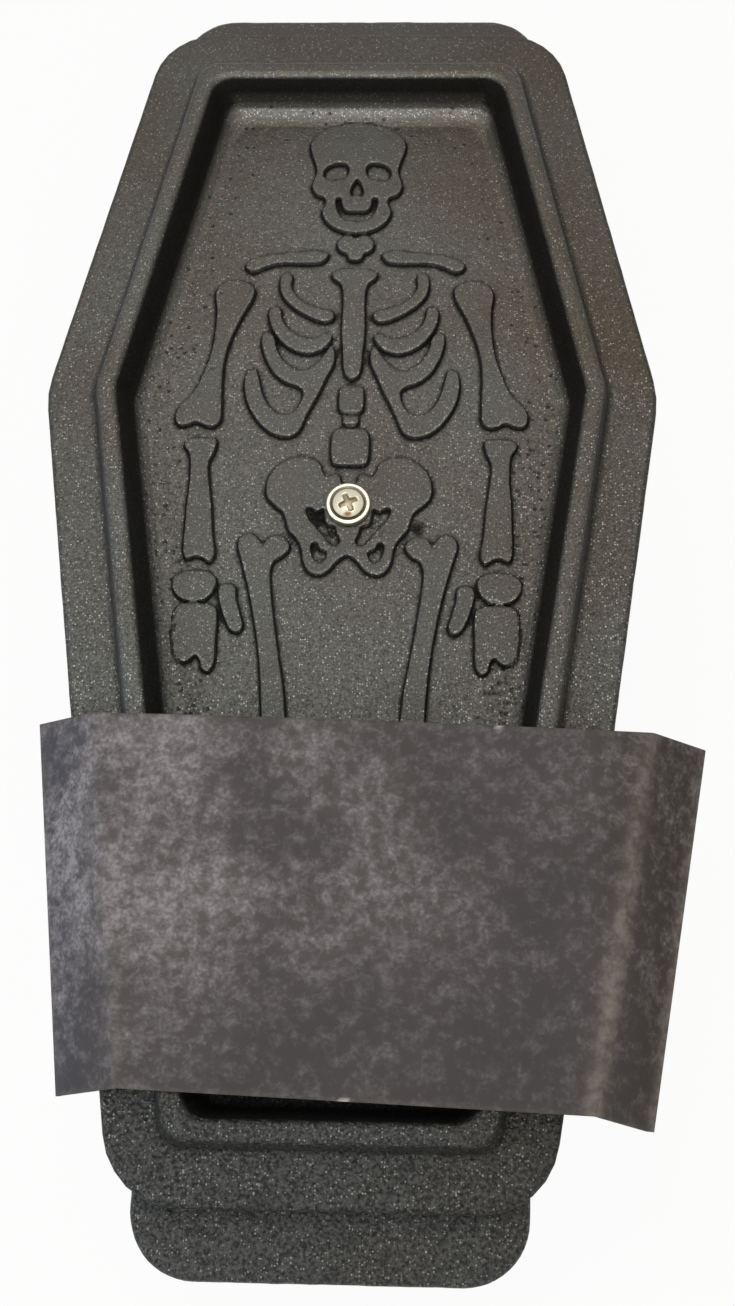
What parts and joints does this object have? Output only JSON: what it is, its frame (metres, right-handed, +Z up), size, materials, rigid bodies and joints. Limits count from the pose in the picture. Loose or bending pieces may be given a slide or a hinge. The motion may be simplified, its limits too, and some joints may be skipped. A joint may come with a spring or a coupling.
{
  "type": "cast iron loaf pan",
  "caption": "Coffin-shaped cast iron loaf pan with flat end handles; its lid lies turned over on top, showing a skeleton in low relief, under a plain card sleeve.",
  "frame": {"origin": "middle of the pan's flat base, where it stands", "axes": "+X across the pan, +Y along it to the head end, +Z up"},
  "size_m": [0.1582, 0.3194, 0.0738],
  "materials": {
    "seasoned_iron": "sand-cast and seasoned, dull with small bright specks",
    "stainless_steel": "turned and satin",
    "zinc_plated_steel": "zinc plated, bright",
    "printed_card": "matte, mottled slate print"
  },
  "bodies": {
    "pan": {"pan": "seasoned_iron"},
    "lid": {"lid": "seasoned_iron", "knob": "stainless_steel", "knob_screw": "zinc_plated_steel", "knob_washer": "zinc_plated_steel"},
    "card_sleeve": {"card_sleeve": "printed_card"}
  },
  "joints": [
    {"name": "lid_lift", "type": "slide", "parent": "pan", "child": "lid", "axis": [0, 0, 1], "range_m": [0, 0.1]},
    {"name": "sleeve_draw", "type": "slide", "parent": "lid", "child": "card_sleeve", "axis": [0, -1, 0], "range_m": [0, 0.13]}
  ]
}
